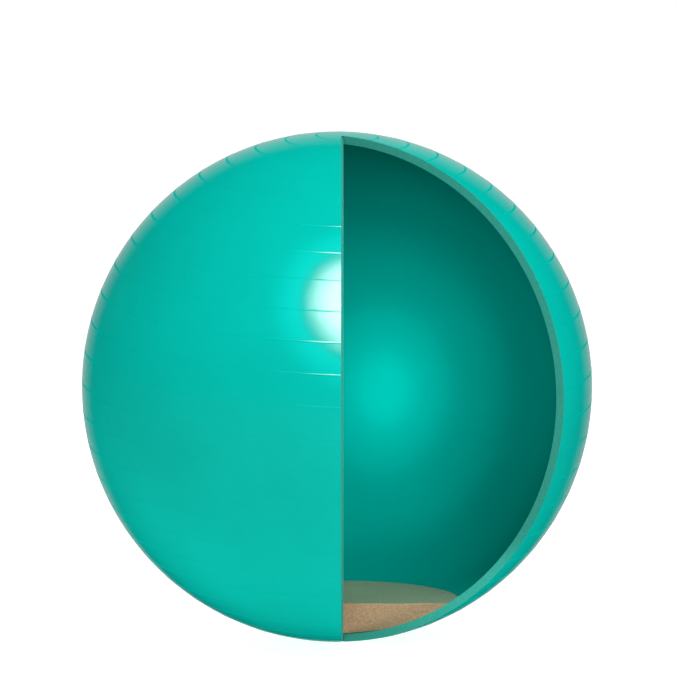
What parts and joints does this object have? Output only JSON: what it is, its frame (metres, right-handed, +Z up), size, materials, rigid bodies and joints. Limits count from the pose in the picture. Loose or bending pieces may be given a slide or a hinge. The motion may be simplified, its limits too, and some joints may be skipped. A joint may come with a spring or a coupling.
{
  "type": "sitting ball",
  "caption": "Inflated vinyl sitting ball with thin ring ribs, a push-in valve and loose sand ballast, with one sector left out to show its wall and filling.",
  "frame": {"origin": "on the floor, at the centre of the flat that the ball rests on, under the ball's centre", "axes": "+Z up, -Y to the front where the left out sector opens, +X to the right seen from the front"},
  "size_m": [0.6509, 0.6511, 0.6475],
  "materials": {
    "ball_vinyl": "glossy teal vinyl, matt where it is cut",
    "sand": "fine dry sand",
    "valve_seat": "soft satin vinyl",
    "valve_plug": "white satin plastic"
  },
  "bodies": {
    "ball": {"ball_shell": "ball_vinyl", "valve_seat": "valve_seat"},
    "plug": {"valve_plug": "valve_plug"},
    "sand": {"sand_ballast": "sand"}
  },
  "joints": [
    {"name": "plug_pull", "type": "slide", "parent": "ball", "child": "plug", "axis": [-0.571, 0.8197, 0.0447], "range_m": [0, 0.03]},
    {"name": "sand_shift", "type": "hinge", "parent": "ball", "child": "sand", "pos_m": [0, 0, 0.32187], "axis": [1, 0, 0], "range_deg": [0, 30]}
  ]
}
